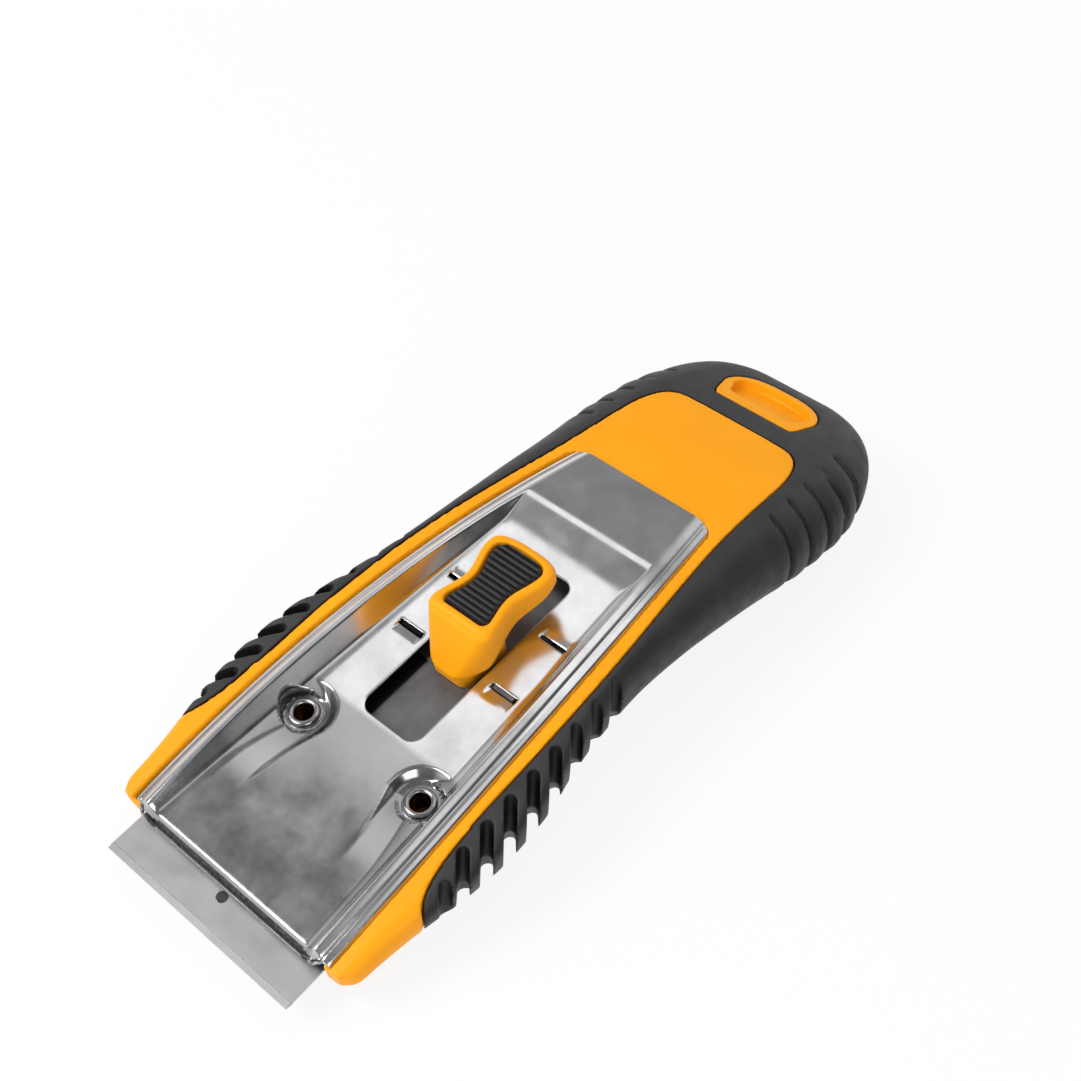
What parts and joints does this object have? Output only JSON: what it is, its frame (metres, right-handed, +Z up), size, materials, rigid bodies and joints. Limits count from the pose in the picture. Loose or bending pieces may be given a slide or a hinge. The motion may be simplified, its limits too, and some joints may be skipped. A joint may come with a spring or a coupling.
{
  "type": "razor blade scraper",
  "caption": "Hand scraper: a wide razor blade on a sliding carriage in a stamped steel tray, pushed out by a thumb slider, in a moulded handle with a ribbed soft grip.",
  "frame": {"origin": "middle of the tool's bounding box on the table it rests on, blade out as in the picture", "axes": "+X to the tool's right seen from above with the blade ahead, +Y back towards the tail, +Z up from the table"},
  "size_m": [0.0576, 0.1534, 0.0293],
  "materials": {
    "orange_plastic": "satin moulded plastic",
    "soft_grip": "matte soft rubber",
    "dark_plastic": "fine grained hard plastic",
    "sheet_steel": "bright pressed sheet, polished",
    "zinc_steel": "dull zinc-plated",
    "blade_steel": "rolled, ground edge"
  },
  "bodies": {
    "handle": {"handle_core": "orange_plastic", "grip_overmould": "soft_grip", "base_cover": "dark_plastic", "cover_screws": "zinc_steel", "face_plate": "sheet_steel", "bed_plate": "zinc_steel", "eyelet_left": "sheet_steel", "eyelet_right": "sheet_steel"},
    "blade_slider": {"carriage": "zinc_steel", "blade_studs": "zinc_steel", "blade": "blade_steel", "detent_spring": "blade_steel", "slider_screws": "zinc_steel", "thumb_slider": "orange_plastic", "thumb_pad": "soft_grip"}
  },
  "joints": [
    {"name": "blade_slide", "type": "slide", "parent": "handle", "child": "blade_slider", "axis": [0, -0.9863, -0.165], "range_m": [-0.0129, 0.0125], "deforming": ["detent_spring"]}
  ]
}
